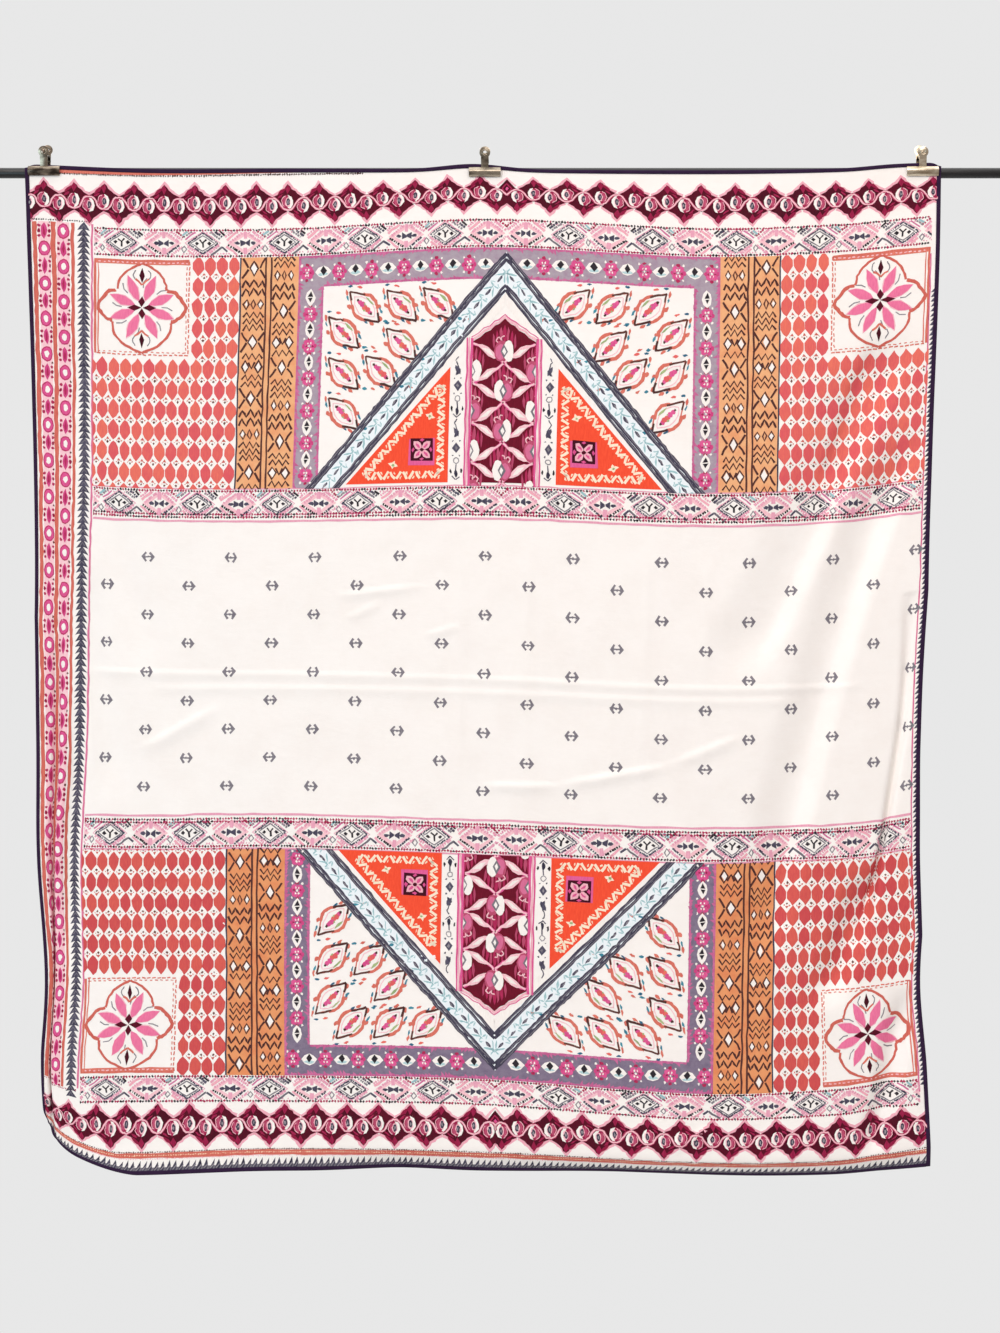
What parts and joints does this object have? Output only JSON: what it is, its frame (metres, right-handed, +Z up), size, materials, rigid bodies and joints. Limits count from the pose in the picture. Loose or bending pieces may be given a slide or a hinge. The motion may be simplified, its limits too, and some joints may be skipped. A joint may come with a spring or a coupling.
{
  "type": "embroidered quilt hung from a rod",
  "caption": "Thin printed and embroidered cotton quilt with a dark bound edge, hung face on from a round rod by sprung steel clips.",
  "frame": {"origin": "on the rod's axis, level with the middle of the quilt's flat width", "axes": "+X along the rod to the right as the face is seen, +Y from the face to the back, +Z up"},
  "size_m": [2.5, 0.0567, 2.5027],
  "materials": {
    "quilt_cotton": "matte printed cotton with stitched motifs",
    "binding_cotton": "matte woven cotton",
    "rod_paint": "satin black paint",
    "clip_steel": "worn nickel plated steel"
  },
  "bodies": {
    "root": {"quilt": "quilt_cotton", "binding_top": "binding_cotton", "binding_bottom": "binding_cotton", "binding_left": "binding_cotton", "binding_right": "binding_cotton", "rod": "rod_paint", "clip_left_front": "clip_steel", "clip_left_back": "clip_steel", "clip_left_spring": "clip_steel", "clip_centre_front": "clip_steel", "clip_centre_back": "clip_steel", "clip_centre_spring": "clip_steel", "clip_right_front": "clip_steel", "clip_right_back": "clip_steel", "clip_right_spring": "clip_steel"}
  },
  "joints": []
}
